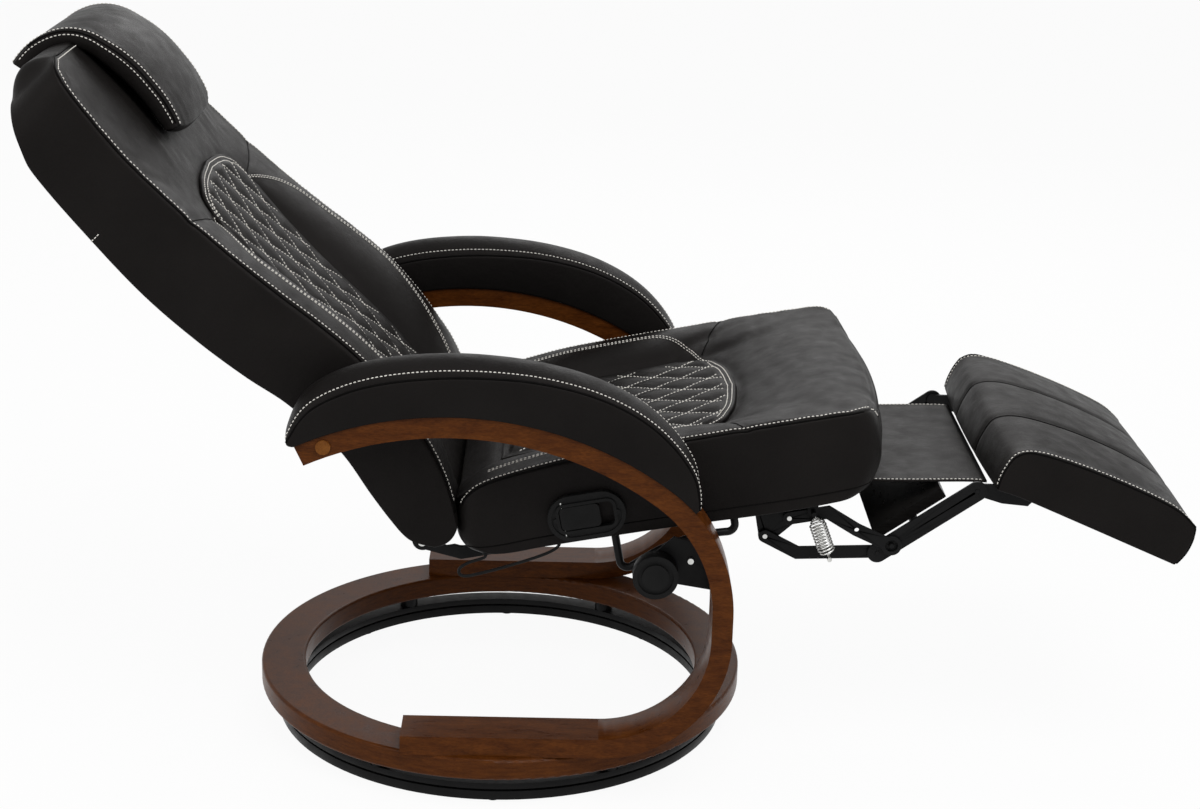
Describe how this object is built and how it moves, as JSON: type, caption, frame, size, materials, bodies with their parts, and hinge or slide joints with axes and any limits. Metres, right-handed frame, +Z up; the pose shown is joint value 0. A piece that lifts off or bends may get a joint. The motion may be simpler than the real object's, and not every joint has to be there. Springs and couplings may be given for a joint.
{
  "type": "swivel recliner",
  "caption": "Upholstered recliner on a swivel ring base with bent-wood C arms, a pivoting back, a gliding seat and a fold-out footrest on a sprung linkage.",
  "frame": {"origin": "on the floor at the axis of the swivel ring", "axes": "+X to the sitter's front, +Y to the sitter's left, +Z up"},
  "size_m": [1.4772, 0.66, 0.9568],
  "materials": {
    "upholstery": "black synthetic leather over foam, soft sheen",
    "quilting": "black synthetic leather quilted over foam",
    "flap_leather": "black synthetic leather, stitched edges",
    "lacquered_wood": "satin lacquered walnut-coloured bent wood",
    "plywood": "black stained plywood",
    "black_steel": "satin black powder coat",
    "zinc_steel": "zinc plated",
    "black_plastic": "moulded black plastic",
    "cable_jacket": "matte black jacket"
  },
  "bodies": {
    "base": {"floor_glides": "black_plastic", "floor_ring": "black_steel"},
    "bearing_cage": {"ball_cage": "black_plastic", "bearing_balls": "zinc_steel"},
    "turntable": {"top_ring": "black_steel", "ring_studs": "zinc_steel", "ring_spacers": "black_steel", "wood_ring": "lacquered_wood", "frame_bolts": "zinc_steel", "arm_frame_right": "lacquered_wood", "arm_frame_left": "lacquered_wood", "arm_pad_right": "upholstery", "arm_pad_left": "upholstery", "pivot_bolts": "zinc_steel", "pivot_caps": "lacquered_wood", "clamp_plate_right": "black_steel", "clamp_plate_left": "black_steel", "clamp_plate_bolts": "zinc_steel", "clamp_bushes": "zinc_steel"},
    "knob_right": {"lock_knob_right": "black_plastic"},
    "knob_left": {"lock_knob_left": "black_plastic"},
    "back": {"back_cushion": "upholstery", "back_quilt_panel": "quilting", "headrest_pillow": "upholstery", "back_frame": "black_steel", "pivot_bushes": "zinc_steel", "seat_hinge_pins": "zinc_steel"},
    "seat": {"seat_cushion": "upholstery", "seat_quilt_panel": "quilting", "seat_board": "plywood", "seat_hinge_brackets": "black_steel", "slide_rod_right": "black_steel", "slide_rod_left": "black_steel", "handle_bezel": "black_plastic", "paddle_pin": "zinc_steel", "release_cable": "cable_jacket", "cable_glands": "black_plastic", "link_bracket_right": "black_steel", "link_bracket_left": "black_steel", "bracket_pins": "zinc_steel", "spring_hangers": "black_steel", "footrest_spring_right": "zinc_steel", "footrest_spring_left": "zinc_steel", "leg_flap": "flap_leather"},
    "paddle": {"release_paddle": "black_plastic"},
    "lower_links": {"lower_link_right": "black_steel", "lower_link_left": "black_steel", "knee_pins": "black_steel", "spring_pegs": "zinc_steel"},
    "upper_links": {"upper_link_right": "black_steel", "upper_link_left": "black_steel"},
    "front_links": {"front_link_right": "black_steel", "front_link_left": "black_steel", "front_link_pins": "black_steel", "link_cross_bar": "black_steel", "middle_board": "plywood"},
    "footrest": {"footrest_cushion": "upholstery", "footrest_board": "plywood", "footrest_bracket_right": "black_steel", "footrest_bracket_left": "black_steel"}
  },
  "joints": [
    {"name": "swivel", "type": "hinge", "parent": "base", "child": "turntable", "pos_m": [0, 0, 0.0165], "axis": [0, 0, 1], "continuous": true},
    {"name": "cage_roll", "type": "hinge", "parent": "base", "child": "bearing_cage", "pos_m": [0, 0, 0.0165], "axis": [0, 0, 1], "continuous": true},
    {"name": "recline", "type": "hinge", "parent": "turntable", "child": "back", "pos_m": [-0.20768, 0, 0.47865], "axis": [0, 1, 0], "range_deg": [0, 25]},
    {"name": "seat_glide", "type": "hinge", "parent": "back", "child": "seat", "pos_m": [-0.097, 0, 0.31], "axis": [0, 1, 0], "range_deg": [-25, 0]},
    {"name": "knob_right_turn", "type": "hinge", "parent": "turntable", "child": "knob_right", "pos_m": [0.198, -0.27, 0.303], "axis": [0, 1, 0], "range_deg": [-180, 180]},
    {"name": "knob_left_turn", "type": "hinge", "parent": "turntable", "child": "knob_left", "pos_m": [0.198, 0.27, 0.303], "axis": [0, 1, 0], "range_deg": [-180, 180]},
    {"name": "handle_pull", "type": "hinge", "parent": "seat", "child": "paddle", "pos_m": [0.08203, -0.2535, 0.36642], "axis": [0.1891, 0, -0.982], "range_deg": [0, 35], "stiffness_Nm_per_rad": 0.05},
    {"name": "footrest_fold", "type": "hinge", "parent": "seat", "child": "lower_links", "pos_m": [0.341, 0, 0.322], "axis": [0, 1, 0], "range_deg": [0, 45], "deforming": ["footrest_spring_right", "footrest_spring_left", "leg_flap"]},
    {"name": "upper_link_swing", "type": "hinge", "parent": "seat", "child": "upper_links", "pos_m": [0.37, 0, 0.351], "axis": [0, 1, 0], "range_deg": [0, 48.7]},
    {"name": "knee_fold", "type": "hinge", "parent": "lower_links", "child": "front_links", "pos_m": [0.486, 0, 0.304], "axis": [0, 1, 0], "range_deg": [-97.5, 0]},
    {"name": "footrest_tip", "type": "hinge", "parent": "front_links", "child": "footrest", "pos_m": [0.608, 0, 0.391], "axis": [0, 1, 0], "range_deg": [0, 122]}
  ],
  "couplings": [
    {"joint": "cage_roll", "follows": "swivel", "ratio": 0.5},
    {"joint": "seat_glide", "follows": "recline", "ratio": -1},
    {"joint": "upper_link_swing", "follows": "footrest_fold", "ratio": 1.0822},
    {"joint": "knee_fold", "follows": "footrest_fold", "ratio": -2.1667},
    {"joint": "footrest_tip", "follows": "footrest_fold", "ratio": 2.7111}
  ]
}
